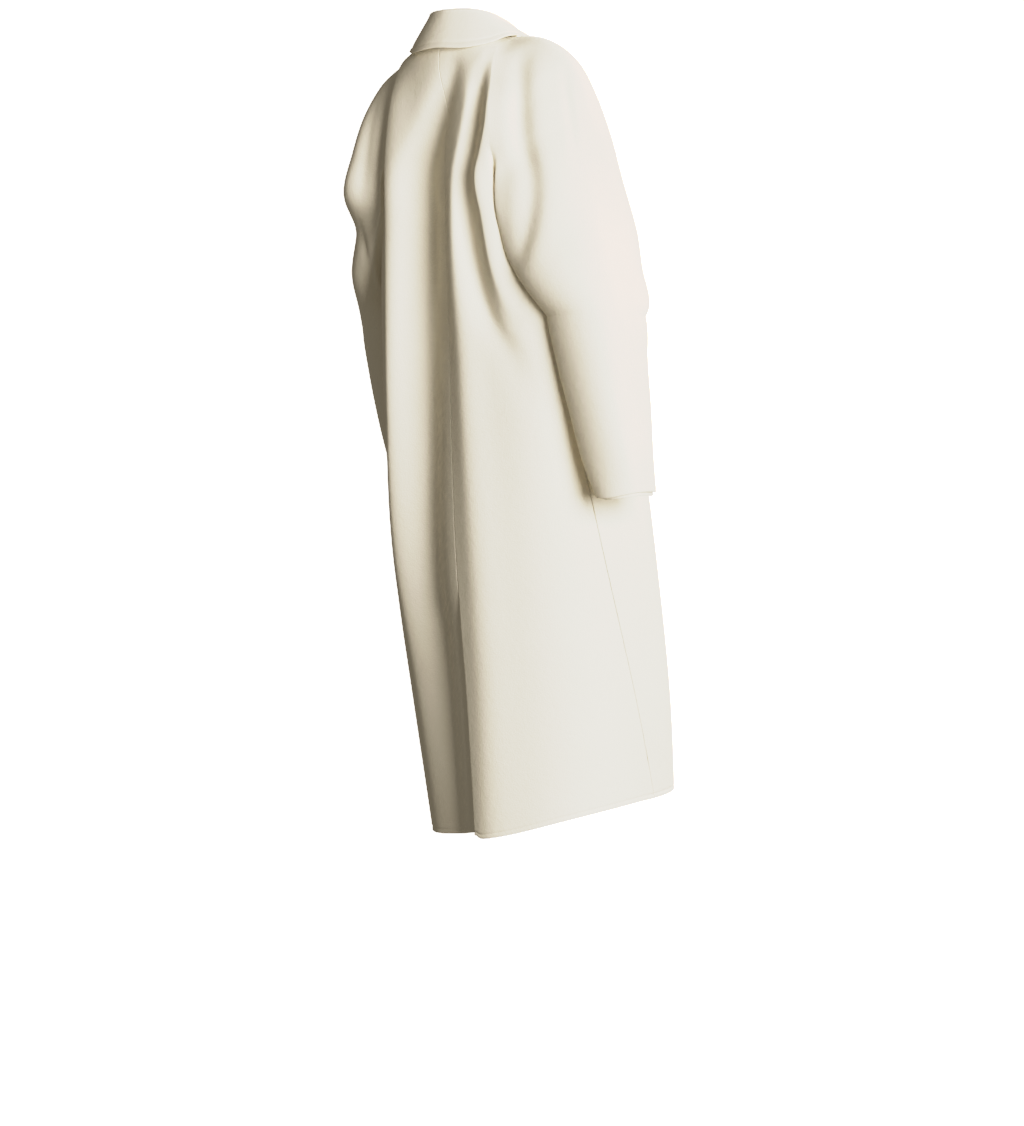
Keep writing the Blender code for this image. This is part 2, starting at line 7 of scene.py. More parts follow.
import bpy
import numpy as np
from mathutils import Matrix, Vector


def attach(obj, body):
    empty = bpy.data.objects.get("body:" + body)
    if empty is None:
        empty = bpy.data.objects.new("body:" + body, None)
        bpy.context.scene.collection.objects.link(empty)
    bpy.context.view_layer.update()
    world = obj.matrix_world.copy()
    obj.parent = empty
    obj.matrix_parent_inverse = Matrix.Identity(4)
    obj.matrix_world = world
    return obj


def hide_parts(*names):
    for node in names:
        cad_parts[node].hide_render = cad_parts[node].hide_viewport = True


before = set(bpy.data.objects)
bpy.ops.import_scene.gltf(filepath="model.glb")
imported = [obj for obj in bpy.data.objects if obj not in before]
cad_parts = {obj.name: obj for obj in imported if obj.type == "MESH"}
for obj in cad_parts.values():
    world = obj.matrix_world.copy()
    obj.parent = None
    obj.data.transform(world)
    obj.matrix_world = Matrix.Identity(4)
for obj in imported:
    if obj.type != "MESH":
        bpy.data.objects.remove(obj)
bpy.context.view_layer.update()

# Camera
# The coat is seen level, from behind and from its right, 40 degrees round from straight behind and 6.5 m
# away. The picture is 1.8 m high at the coat, so a long lens takes it in with little perspective.
VIEW_TURN = np.radians(40)
VIEW_DISTANCE = 6.5
VIEW_RIGHT = 0.0672
VIEW_HEIGHT = -0.8368
PICTURE_HEIGHT = 1.8016
SENSOR_MM = 36.0

towards_camera = np.array([-np.sin(VIEW_TURN), np.cos(VIEW_TURN), 0.0])
picture_right = np.array([-np.cos(VIEW_TURN), -np.sin(VIEW_TURN), 0.0])
up = np.array([0.0, 0.0, 1.0])
camera = bpy.data.objects.new("camera", bpy.data.cameras.new("camera"))
camera.data.sensor_width = SENSOR_MM
camera.data.lens = SENSOR_MM * VIEW_DISTANCE / PICTURE_HEIGHT
camera.location = picture_right * VIEW_RIGHT + up * VIEW_HEIGHT + towards_camera * VIEW_DISTANCE
camera.rotation_euler = Vector(towards_camera).to_track_quat("Z", "Y").to_euler()
bpy.context.scene.collection.objects.link(camera)
bpy.context.scene.camera = camera

# Back panels
# The back is cut in two and sewn down the centre, with a vent at the hem where the right panel laps the left.
# It is thick felted double-face wool that hangs from the shoulders, in one deep trough beside the centre seam
# and in smaller creases that run from the neck to the right underarm.
LEFT, RIGHT = 1, -1
BACK, FRONT = 1, -1
TINY = 1e-9
WALL = 0.003
EDGE_ROUND = 0.0012
SEAM_ROUND = 0.0010
RIM_STEPS = 5
SHARP_ANGLE = np.radians(50)
UNDERARM = 0.45
# The side seams: their rounding, and the share of a panel's width by which it stops short of them, which
# comes in over a share of the way from the underarm to the hem.
SIDE_SEAM_ROUND = 0.0017
SIDE_SEAM_OPEN = 0.0013
SIDE_SEAM_EASE = 0.05
# The hem: its mean drop, how far it dips from that and at which angle, the drop of the last row before the
# rows follow it, the height of the strip with finer rows, and the line of stitches' height, depth and width.
HEM_MEAN = 1.240
HEM_DIP = 0.038
HEM_LOW_ANGLE = np.radians(40)
HEM_ROW = 1.215
HEM_FINE = 0.020
STITCH_UP = 0.0065
STITCH_DEEP = 0.0008
STITCH_WIDE = 0.0016
# The vent: the right panel stands proud and hangs lower there, less and less over a share of its width, and
# its corner is rounded. The left panel runs on beneath it and steps in, from just above the vent's top and
# back out again over these shares of its own width.
VENT_TOP = 0.95
VENT_EASE = 0.06
VENT_SPREAD = 0.35
VENT_PROUD = 0.0015
VENT_HEM_STEP = 0.011
VENT_CORNER = 0.007
VENT_CORNER_WIDE = 0.02
VENT_CORNER_HIGH = 0.03
VENT_UNDERLAP = 0.040
VENT_STEP = 0.0055
VENT_STEP_ACROSS = (0.15, 0.4)
VENT_STEP_DOWN = (VENT_TOP - 0.08, VENT_TOP - 0.01)

# Level sections round the body: the cloth's place at the centre back and centre front, the half width, and
# how boxy the section is (2 is an ellipse).
BODY_COLUMNS = "drop back_y front_y half_width boxy"
BODY = (
    (-0.02, 0.066, -0.070, 0.068, 2.1),
    (0.00, 0.070, -0.078, 0.074, 2.1),
    (0.03, 0.076, -0.095, 0.130, 2.1),
    (0.08, 0.076, -0.118, 0.180, 2.2),
    (0.15, 0.072, -0.140, 0.200, 2.3),
    (0.30, 0.060, -0.180, 0.202, 2.6),
    (0.42, 0.055, -0.205, 0.204, 2.9),
    (0.60, 0.049, -0.251, 0.211, 2.8),
    (0.83, 0.035, -0.309, 0.221, 2.4),
    (1.05, 0.008, -0.352, 0.221, 2.3),
    (1.30, -0.015, -0.388, 0.207, 2.3),
)
# Where the raglan seams cross the body down to the underarm, and the side seams below it: distance out from
# the centre plane and place front to back.
SEAM_COLUMNS = "drop out y"
SIDE_RIGHT = (
    (0.45, 0.177, 0.014),
    (0.60, 0.197, -0.018),
    (0.83, 0.215, -0.078),
    (1.05, 0.215, -0.150),
    (1.30, 0.206, -0.240),
)
SIDE_LEFT = (
    (0.45, 0.205, -0.090),
    (0.60, 0.211, -0.105),
    (0.83, 0.221, -0.140),
    (1.05, 0.221, -0.165),
    (1.30, 0.207, -0.190),
)
RAGLAN_BACK_RIGHT = (
    (0.00, 0.069, 0.020),
    (0.05, 0.092, 0.055),
    (0.10, 0.100, 0.062),
    (0.20, 0.104, 0.061),
    (0.30, 0.112, 0.053),
    (0.37, 0.132, 0.042),
    (0.42, 0.158, 0.028),
    (0.45, 0.177, 0.014),
)
RAGLAN_BACK_LEFT = (
    (0.00, 0.069, 0.020),
    (0.05, 0.100, 0.050),
    (0.10, 0.117, 0.055),
    (0.20, 0.139, 0.046),
    (0.30, 0.157, 0.026),
    (0.38, 0.181, -0.020),
    (0.45, 0.205, -0.090),
)
# Creases, each a line down the cloth: its place across, how far the cloth stands out there (rise, minus for a
# trough) and the half widths on the sides where the place grows and shrinks, at each drop. On the body the
# place is x.
FOLD_COLUMNS = "drop place rise plus_width minus_width"
BACK_FOLDS = (
    # the deep trough beside the centre seam, on the coat's left
    (
        (0.03, -0.032, -0.002, 0.022, 0.018),
        (0.06, -0.024, -0.008, 0.024, 0.021),
        (0.10, -0.004, -0.016, 0.026, 0.027),
        (0.15, 0.026, -0.025, 0.026, 0.036),
        (0.20, 0.059, -0.035, 0.022, 0.049),
        (0.30, 0.070, -0.039, 0.022, 0.052),
        (0.42, 0.078, -0.040, 0.022, 0.056),
        (0.60, 0.085, -0.040, 0.029, 0.056),
        (0.83, 0.094, -0.038, 0.040, 0.056),
        (1.05, 0.092, -0.037, 0.075, 0.053),
        (1.30, 0.085, -0.036, 0.110, 0.050),
    ),
    # the flat crest on that trough's left, with a sharp edge towards the left sleeve
    (
        (0.04, 0.098, 0.000, 0.010, 0.030),
        (0.10, 0.106, 0.008, 0.012, 0.034),
        (0.20, 0.116, 0.015, 0.014, 0.040),
        (0.30, 0.118, 0.018, 0.016, 0.042),
        (0.42, 0.120, 0.018, 0.018, 0.042),
        (0.60, 0.127, 0.018, 0.020, 0.042),
        (0.83, 0.142, 0.015, 0.024, 0.046),
        (1.05, 0.144, 0.010, 0.028, 0.048),
        (1.30, 0.136, 0.004, 0.030, 0.048),
    ),
    # the step that comes from the right of the neck and becomes the right panel's crest beside that trough
    (
        (0.04, -0.078, 0.002, 0.016, 0.010),
        (0.09, -0.070, 0.006, 0.022, 0.012),
        (0.14, -0.058, 0.008, 0.026, 0.012),
        (0.19, -0.044, 0.010, 0.028, 0.014),
        (0.26, -0.028, 0.012, 0.026, 0.018),
        (0.54, -0.036, 0.012, 0.028, 0.034),
        (0.83, -0.046, 0.010, 0.034, 0.040),
        (1.30, -0.034, 0.006, 0.036, 0.040),
    ),
    # the sharp crease from the neck that turns out towards the underarm: its trough
    (
        (0.04, -0.084, 0.000, 0.010, 0.012),
        (0.06, -0.080, -0.005, 0.014, 0.014),
        (0.115, -0.071, -0.014, 0.010, 0.013),
        (0.18, -0.055, -0.015, 0.011, 0.014),
        (0.22, -0.042, -0.015, 0.012, 0.015),
        (0.28, -0.040, -0.014, 0.013, 0.016),
        (0.38, -0.058, -0.011, 0.017, 0.016),
        (0.45, -0.082, -0.009, 0.023, 0.020),
        (0.51, -0.118, -0.005, 0.028, 0.026),
        (0.60, -0.150, 0.000, 0.030, 0.030),
    ),
    # and the crest along its right side
    (
        (0.03, -0.106, 0.000, 0.022, 0.040),
        (0.075, -0.103, 0.008, 0.019, 0.044),
        (0.115, -0.100, 0.018, 0.012, 0.042),
        (0.156, -0.095, 0.021, 0.011, 0.040),
        (0.195, -0.084, 0.019, 0.012, 0.034),
        (0.215, -0.077, 0.019, 0.012, 0.030),
        (0.296, -0.082, 0.015, 0.012, 0.026),
        (0.398, -0.102, 0.009, 0.014, 0.022),
        (0.46, -0.126, 0.000, 0.018, 0.018),
    ),
    # the start of the fold in which the right sleeve breaks away from the back
    (
        (0.185, -0.104, 0.000, 0.005, 0.007),
        (0.200, -0.105, -0.006, 0.005, 0.007),
        (0.26, -0.108, -0.008, 0.006, 0.008),
        (0.32, -0.117, -0.008, 0.007, 0.009),
        (0.38, -0.138, -0.005, 0.009, 0.010),
        (0.44, -0.170, 0.000, 0.010, 0.010),
    ),
)
# Plain soft folds down the fronts, one below each underarm and one beside each row of buttons.
FRONT_FOLDS = (
    (
        (0.30, 0.150, 0.000, 0.020, 0.020),
        (0.46, 0.150, -0.007, 0.022, 0.026),
        (0.80, 0.140, -0.006, 0.030, 0.034),
        (1.25, 0.130, -0.008, 0.036, 0.036),
    ),
    (
        (0.34, -0.140, 0.000, 0.020, 0.020),
        (0.52, -0.148, -0.008, 0.024, 0.024),
        (0.90, -0.150, -0.005, 0.034, 0.030),
        (1.25, -0.140, -0.007, 0.036, 0.036),
    ),
    (
        (0.70, 0.085, 0.000, 0.030, 0.030),
        (0.95, 0.088, 0.005, 0.034, 0.030),
        (1.25, 0.080, 0.007, 0.040, 0.036),
    ),
    (
        (0.72, -0.090, 0.000, 0.030, 0.030),
        (1.00, -0.095, 0.006, 0.030, 0.036),
        (1.25, -0.085, 0.006, 0.036, 0.040),
    ),
)

# Where round the body the creases come in: between these cosines of the angle for the back, and between these
# cosines of the angle from the centre front for the front.
BACK_FADE = (-0.2, 0.4)
FRONT_FADE = (0.1, 0.5)

ROWS_TO_UNDERARM = 131
ROWS_TO_HEM = 150
ROWS_OF_HEM = 19
BACK_ACROSS = 96
LENGTH_STEPS = 600
BODY_ROWS = np.concatenate([
    np.linspace(0, UNDERARM, ROWS_TO_UNDERARM),
    np.linspace(UNDERARM, HEM_ROW - HEM_FINE, ROWS_TO_HEM)[1:],
    np.linspace(HEM_ROW - HEM_FINE, HEM_ROW, ROWS_OF_HEM)[1:],
])


def through(rows, names, at):
    """Every column of a table of rows, by name, read where its first column has the given values: cubic spans
    through the rows, each row's slope a mean of the slopes to its two neighbours that weighs the nearer
    more."""
    values = np.array(rows)
    knots = values[:, 0]
    steps = np.diff(knots)[:, None]
    rises = np.diff(values, axis=0) / steps
    slopes = np.concatenate([rises[:1], rises])
    slopes[1:-1] = (rises[:-1] * steps[1:] + rises[1:] * steps[:-1]) / (steps[1:] + steps[:-1])
    at = np.asarray(at, float)
    span = np.clip(np.searchsorted(knots, at, side="right") - 1, 0, len(steps) - 1)
    width = steps[span]
    t = (at - knots[span])[..., None] / width
    start = values[span] * (1 + 2 * t) * (1 - t) ** 2 + slopes[span] * width * t * (1 - t) ** 2
    end = values[span + 1] * t * t * (3 - 2 * t) + slopes[span + 1] * width * t * t * (t - 1)
    return dict(zip(names.split(), np.moveaxis(start + end, -1, 0)))


def ramp(low, high, at):
    """A smooth step: 0 below low, 1 above high, and three t squared less two t cubed between them."""
    t = np.clip((at - low) / (high - low), 0, 1)
    return t * t * (3 - 2 * t)


def stack(x, y, z):
    """Three arrays of one shape, or that broadcast to one, as points."""
    return np.stack(np.broadcast_arrays(x, y, z), axis=-1)


def unit(v):
    """Vectors divided by their lengths."""
    return v / np.linalg.norm(v, axis=-1, keepdims=True)


def fold_rise(folds, place, drop):
    """How far creases lift the cloth: for each, its rise times a bell curve of the distance from its line,
    with its own width on either side."""
    total = np.zeros(np.broadcast(place, drop).shape)
    for fold in folds:
        f = through(fold, FOLD_COLUMNS, np.clip(drop, fold[0][0], fold[-1][0]))
        off = place - f["place"]
        width = np.where(off > 0, f["plus_width"], f["minus_width"])
        total = total + f["rise"] * np.exp(-((off / width) ** 2))
    return total


def body_point(angle, drop, extra=0.0):
    """The body's cloth at an angle and a drop: a level superellipse through the table's sections, moved out
    along its normal by the creases of the back and the front, each faded out round the sides, and by an extra
    amount."""
    s = through(BODY, BODY_COLUMNS, drop)
    power = 2 / s["boxy"]
    middle, deep = (s["back_y"] + s["front_y"]) / 2, (s["back_y"] - s["front_y"]) / 2
    x = s["half_width"] * np.sign(np.sin(angle)) * np.abs(np.sin(angle)) ** power
    y = middle + deep * np.sign(np.cos(angle)) * np.abs(np.cos(angle)) ** power
    lift = fold_rise(BACK_FOLDS, x, drop) * ramp(*BACK_FADE, np.cos(angle)) + extra
    lift = lift + fold_rise(FRONT_FOLDS, x, drop) * ramp(*FRONT_FADE, -np.cos(angle))
    nx, ny = x / s["half_width"] ** 2, (y - middle) / deep**2
    size = np.hypot(nx, ny) + TINY
    return stack(x + lift * nx / size, y + lift * ny / size, -drop)


def seam_angle(raglan, side, drop):
    """The angle of a raglan seam, and below the underarm of the side seam, at each drop: the superellipse's
    own angle at the table's distance out and place front to back."""
    s = through(BODY, BODY_COLUMNS, drop)
    upper = through(raglan, SEAM_COLUMNS, np.minimum(drop, UNDERARM))
    lower = through(SIDE_LEFT if side == LEFT else SIDE_RIGHT, SEAM_COLUMNS, np.maximum(drop, UNDERARM))
    line = {name: np.where(drop <= UNDERARM, upper[name], lower[name]) for name in upper}
    middle, deep = (s["back_y"] + s["front_y"]) / 2, (s["back_y"] - s["front_y"]) / 2
    half = s["boxy"] / 2
    across = np.clip(line["out"] / s["half_width"], 0, 1) ** half
    along = (line["y"] - middle) / deep
    return side * np.arctan2(across, np.sign(along) * np.abs(along) ** half)


def angle_of(x, drop, facing):
    """The angle at which the back or front cloth lies at x: the superellipse's x turned round."""
    s = through(BODY, BODY_COLUMNS, drop)
    share = np.clip(np.abs(x) / s["half_width"], 0, 1) ** (s["boxy"] / 2)
    return np.sign(x) * (np.arcsin(share) if facing == BACK else np.pi - np.arcsin(share))


def panel_grid(first, seam, side, columns):
    """Angles, drops and shares of a body panel, rows down from the neck and columns from its first edge to
    its seam. A level row's columns stand an even length of cloth apart; below the underarm the panel stops a
    hair short of the side seam, and the rows spread to follow the hem, which is lowest at one angle and rises
    round from it as a cosine does."""
    start, edge = first(BODY_ROWS), seam_angle(seam, side, BODY_ROWS)
    fine = np.linspace(0, 1, LENGTH_STEPS)
    line = body_point(start[:, None] + (edge - start)[:, None] * fine, BODY_ROWS[:, None] + 0 * fine)
    length = np.cumsum(np.linalg.norm(np.diff(line, axis=1, prepend=line[:, :1]), axis=-1), axis=1)
    even = np.linspace(0, 1, columns)
    share = np.stack([np.interp(even * run[-1], run, fine) for run in length])
    lower = np.clip((BODY_ROWS - UNDERARM) / (HEM_ROW - UNDERARM), 0, 1)[:, None]
    hem = HEM_MEAN + HEM_DIP * np.cos(start[-1] + (edge[-1] - start[-1]) * share - HEM_LOW_ANGLE)
    drop = BODY_ROWS[:, None] + lower * (hem - HEM_ROW)
    start = first(drop[:, 0])[:, None]
    edge = seam_angle(seam, side, drop[:, -1])[:, None]
    reach = 1 - SIDE_SEAM_OPEN * ramp(0.0, SIDE_SEAM_EASE, lower)
    return start + (edge - start) * share * reach, drop, share


def normals_of(points):
    """Normals of a grid of points: its steps down the rows crossed with its steps along the columns."""
    return unit(np.cross(np.gradient(points, axis=0), np.gradient(points, axis=1)))


def cloth_shell(outer, thickness=WALL, top=0.0, bottom=0.0, first=0.0, last=0.0):
    """Points and faces of a closed piece of cloth: the grid of outer points, the same grid one thickness
    further in, and a rim between them that swells half round by each edge's own rounding, a size or one for
    each point of the edge. The two faces draw in by as much, so the rim ends where the grid did."""
    rows, cols = outer.shape[:2]
    out = normals_of(outer)
    draw = np.zeros_like(outer)
    draw[0] += np.reshape(top, (-1, 1)) * unit(outer[1] - outer[0])
    draw[-1] += np.reshape(bottom, (-1, 1)) * unit(outer[-2] - outer[-1])
    draw[:, 0] += np.reshape(first, (-1, 1)) * unit(outer[:, 1] - outer[:, 0])
    draw[:, -1] += np.reshape(last, (-1, 1)) * unit(outer[:, -2] - outer[:, -1])
    face = (outer + draw).reshape(-1, 3)
    inner = face - out.reshape(-1, 3) * thickness
    index = np.arange(rows * cols).reshape(rows, cols)
    under = index + rows * cols
    rim = np.concatenate([index[0, :-1], index[:-1, -1], index[-1, :0:-1], index[:0:-1, 0]])
    half = out.reshape(-1, 3)[rim] * thickness / 2
    turn = np.linspace(0, np.pi, RIM_STEPS + 2)[1:-1, None, None]
    swell = face[rim] - half - draw.reshape(-1, 3)[rim] * np.sin(turn) + half * np.cos(turn)
    loops = 2 * rows * cols + np.arange(RIM_STEPS * len(rim)).reshape(RIM_STEPS, -1)
    loops = np.concatenate([rim[None], loops, rim[None] + rows * cols])
    after = np.roll(loops, -1, axis=1)
    faces = (
        np.stack([index[:-1, :-1], index[1:, :-1], index[1:, 1:], index[:-1, 1:]], -1),
        np.stack([under[:-1, :-1], under[:-1, 1:], under[1:, 1:], under[1:, :-1]], -1),
        np.stack([loops[:-1], after[:-1], after[1:], loops[1:]], -1),
    )
    points = np.concatenate([face, inner, swell.reshape(-1, 3)])
    return points, np.concatenate([f.reshape(-1, 4) for f in faces])


def coat_piece(name, points, faces, material, slot, node):
    """A named piece of the coat from points and faces, smooth but for its sharp edges, that rides with the
    coat and stands for its solid."""
    mesh = bpy.data.meshes.new(name)
    mesh.from_pydata(points, [], faces)
    mesh.shade_smooth()
    mesh.set_sharp_from_angle(angle=SHARP_ANGLE)
    mesh.materials.append(material)
    made = bpy.data.objects.new(name, mesh)
    bpy.context.scene.collection.objects.link(made)
    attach(made, "root")
    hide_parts(node)
    return made


def linear(colour):
    """An sRGB hex colour as linear red, green, blue and alpha: the toe below 0.04045, the 2.4 power above."""
    srgb = np.array([int(colour[i:i + 2], 16) for i in (1, 3, 5)]) / 255
    return (*np.where(srgb <= 0.04045, srgb / 12.92, ((srgb + 0.055) / 1.055) ** 2.4), 1.0)


def add_node(tree, kind, inputs=None, **settings):
    """A node of that kind, its settings, and its inputs by socket: a value, or a node and its output."""
    node = tree.nodes.new(kind)
    for name, value in settings.items():
        setattr(node, name, value)
    for socket, value in (inputs or {}).items():
        if isinstance(value, tuple) and isinstance(value[0], bpy.types.Node):
            tree.links.new(value[0].outputs[value[1]], node.inputs[socket])
        else:
            node.inputs[socket].default_value = value
    return node


# Felted double-face wool, milled and brushed: no weave shows, only a short matt nap that catches the light at
# grazing angles and a slight cloudiness where the fibres clump. The nap is 0.5 mm in the cloth and is drawn
# at 2.2 mm, as fine as the picture can show.
NAP_SIZE = 0.0022
NAP_HEIGHT = 0.0007
CLUMP_SIZE = 0.011
CLUMP_HEIGHT = 0.0009
CLOUD_SIZE = 0.09
IVORY_DEEP = "#E8E1CC"
IVORY_PALE = "#F0EAD9"
IVORY_NAP = "#EFE9D8"
IVORY_SHEEN = "#FFF6E4"

wool = bpy.data.materials.new("felted_wool")
wool.use_nodes = True
tree = wool.node_tree
tree.nodes.clear()
place = add_node(tree, "ShaderNodeTexCoord")
nap, clump, cloud = (
    add_node(tree, "ShaderNodeTexNoise", {"Vector": (place, "Object"), "Scale": 1 / size, "Detail": detail})
    for size, detail in ((NAP_SIZE, 2.0), (CLUMP_SIZE, 3.0), (CLOUD_SIZE, 4.0))
)
# Inputs 6 and 7 of a mix node are its two colours, and its output 2 is the colour between them.
clouded = add_node(tree, "ShaderNodeMix", {0: (cloud, "Fac"), 6: linear(IVORY_DEEP), 7: linear(IVORY_PALE)},
                   data_type="RGBA")
flecked = add_node(tree, "ShaderNodeMix", {0: (nap, "Fac"), 6: (clouded, 2), 7: linear(IVORY_NAP)},
                   data_type="RGBA")
soft = add_node(tree, "ShaderNodeBump", {"Height": (clump, "Fac"), "Strength": 0.5, "Distance": CLUMP_HEIGHT})
napped = add_node(tree, "ShaderNodeBump", {"Height": (nap, "Fac"), "Strength": 0.6, "Distance": NAP_HEIGHT,
                                           "Normal": (soft, "Normal")})
cloth = add_node(tree, "ShaderNodeBsdfPrincipled", {
    "Base Color": (flecked, 2), "Roughness": 0.95, "Specular IOR Level": 0.15, "Normal": (napped, "Normal"),
    "Sheen Weight": 0.25, "Sheen Roughness": 0.6, "Sheen Tint": linear(IVORY_SHEEN)})
add_node(tree, "ShaderNodeOutputMaterial", {"Surface": (cloth, "BSDF")})


def centre_back(drop):
    """The right panel's centre edge: at the centre back, where the angle is 0, at every drop."""
    return 0 * drop


def vent_edge(drop):
    """The left panel's centre edge: at the centre back, and below the vent's top under the right panel."""
    return angle_of(-VENT_UNDERLAP * ramp(VENT_TOP, VENT_TOP + VENT_EASE, drop) - TINY, drop, BACK)


hem_stitch = -STITCH_DEEP * np.exp(-(((HEM_ROW - BODY_ROWS - STITCH_UP) / STITCH_WIDE) ** 2))[:, None]
side_seam_round = SIDE_SEAM_ROUND * (BODY_ROWS > UNDERARM)

angle, drop, share = panel_grid(centre_back, RAGLAN_BACK_RIGHT, RIGHT, BACK_ACROSS)
near_vent = np.exp(-((share / VENT_SPREAD) ** 2))
near_corner = np.exp(-((share / VENT_CORNER_WIDE) ** 2))
drop = drop + VENT_HEM_STEP * near_vent * ramp(VENT_TOP, HEM_ROW, drop)
drop = drop - VENT_CORNER * near_corner * ramp(HEM_ROW - VENT_CORNER_HIGH, HEM_ROW, BODY_ROWS)[:, None]
proud = VENT_PROUD * near_vent * ramp(VENT_TOP - VENT_EASE, VENT_TOP, drop)
points = body_point(angle, drop, proud + hem_stitch)
back_right = coat_piece("back_right_cloth", *cloth_shell(
    points, bottom=EDGE_ROUND, first=SEAM_ROUND, last=side_seam_round), wool, "wool", "back_right")

angle, drop, share = panel_grid(vent_edge, RAGLAN_BACK_LEFT, LEFT, BACK_ACROSS)
under_vent = (1 - ramp(*VENT_STEP_ACROSS, share)) * ramp(*VENT_STEP_DOWN, drop)
points = body_point(angle, drop, hem_stitch - VENT_STEP * under_vent)[:, ::-1]
back_left = coat_piece("back_left_cloth", *cloth_shell(
    points, bottom=EDGE_ROUND, first=side_seam_round, last=SEAM_ROUND), wool, "wool", "back_left")

# Front panels
# Two fronts lap at the centre, right over left, and button double breasted. Each is cut of the same wool and
# sewn to the back at the side seam and to the sleeve at the raglan seam.
LAP = 0.090
LAP_LIFT = 0.0055
LIFT_STARTS = 0.050
LIFT_ENDS = 0.008
BREAK = 0.42
GORGE_OUT = 0.056
FRONT_ACROSS = 84
RAGLAN_FRONT_RIGHT = (
    (0.00, 0.068, -0.034),
    (0.05, 0.088, -0.085),
    (0.10, 0.097, -0.110),
    (0.20, 0.116, -0.130),
    (0.30, 0.142, -0.128),
    (0.37, 0.178, -0.112),
    (0.41, 0.200, -0.075),
    (0.435, 0.200, -0.025),
    (0.45, 0.177, 0.014),
)
RAGLAN_FRONT_LEFT = (
    (0.00, 0.068, -0.034),
    (0.05, 0.088, -0.085),
    (0.10, 0.097, -0.110),
    (0.20, 0.112, -0.135),
    (0.30, 0.135, -0.140),
    (0.38, 0.168, -0.128),
    (0.45, 0.205, -0.090),
)


def front_edge(drop):
    """How far past the centre front an edge lies: the lap, and above the break a straight line to the gorge,
    along which the lapel rolls."""
    return LAP - (LAP + GORGE_OUT) * np.clip(1 - drop / BREAK, 0, 1)


def front_lift(x, drop, side):
    """How far a front is lifted to lie over the other: only the right front, by a smooth step that ends just
    before the left's edge."""
    under = -front_edge(drop)
    return LAP_LIFT * ramp(under - LIFT_STARTS, under - LIFT_ENDS, x) * (side == RIGHT)


def front_points(seam, side):
    """A front panel's grid, from its edge past the centre front to its raglan and side seams."""
    def first(drop):
        """The angle of the front's own edge, carried on round where it lies past the centre front."""
        past_centre = np.where(front_edge(drop) < 0, 0, side * 2 * np.pi)
        return angle_of(-side * front_edge(drop), drop, FRONT) + past_centre

    angle, drop, _ = panel_grid(first, seam, side, FRONT_ACROSS)
    unlifted = body_point(angle, drop)
    return body_point(angle, drop, hem_stitch + front_lift(unlifted[..., 0], drop, side))


points = front_points(RAGLAN_FRONT_RIGHT, RIGHT)[:, ::-1]
front_right = coat_piece("front_right_cloth", *cloth_shell(
    points, bottom=EDGE_ROUND, first=side_seam_round, last=EDGE_ROUND), wool, "wool", "front_right")

points = front_points(RAGLAN_FRONT_LEFT, LEFT)
front_left = coat_piece("front_left_cloth", *cloth_shell(
    points, bottom=EDGE_ROUND, first=EDGE_ROUND, last=side_seam_round), wool, "wool", "front_left")

# Sleeves and cuff facings
# Each sleeve is one wide raglan piece, sewn from the neck to the underarm and closed by a seam underneath.
# It stands out from the back in a deep fold, and its cuff is turned in on a narrow facing of the same wool.
SLEEVE_ACROSS = 131
CUFF_ROWS = 81
FACING_ROWS = 13
FACING_DEPTH = 0.035
FACING_WALL = 0.002
FACING_GAP = 0.0016
FACING_LIP = 0.006
FACING_ROUND = 0.0008
# The cloth's roll beside the back seam, which comes and goes between these runs. Its edge and width, and the
# places and widths below, are shares of the way round the sleeve from its back seam to its front one.
ROLL_RISE = 0.008
ROLL_COMES = (0.185, 0.225)
ROLL_GOES = (0.34, 0.44)
ROLL_EDGE = 0.03
ROLL_WIDE = 0.07
# How far the cuff's edge dips at the back, from how high up, and where.
CUFF_DIP = 0.012
CUFF_DIP_HIGH = 0.15
CUFF_DIP_PLACE = 0.2
CUFF_DIP_WIDE = 0.2
# Where the creases come in beside the back seam, and where they end about the crest.
CREASES_COME = (0.02, 0.10)
CREASES_GO = (0.42, 0.52)
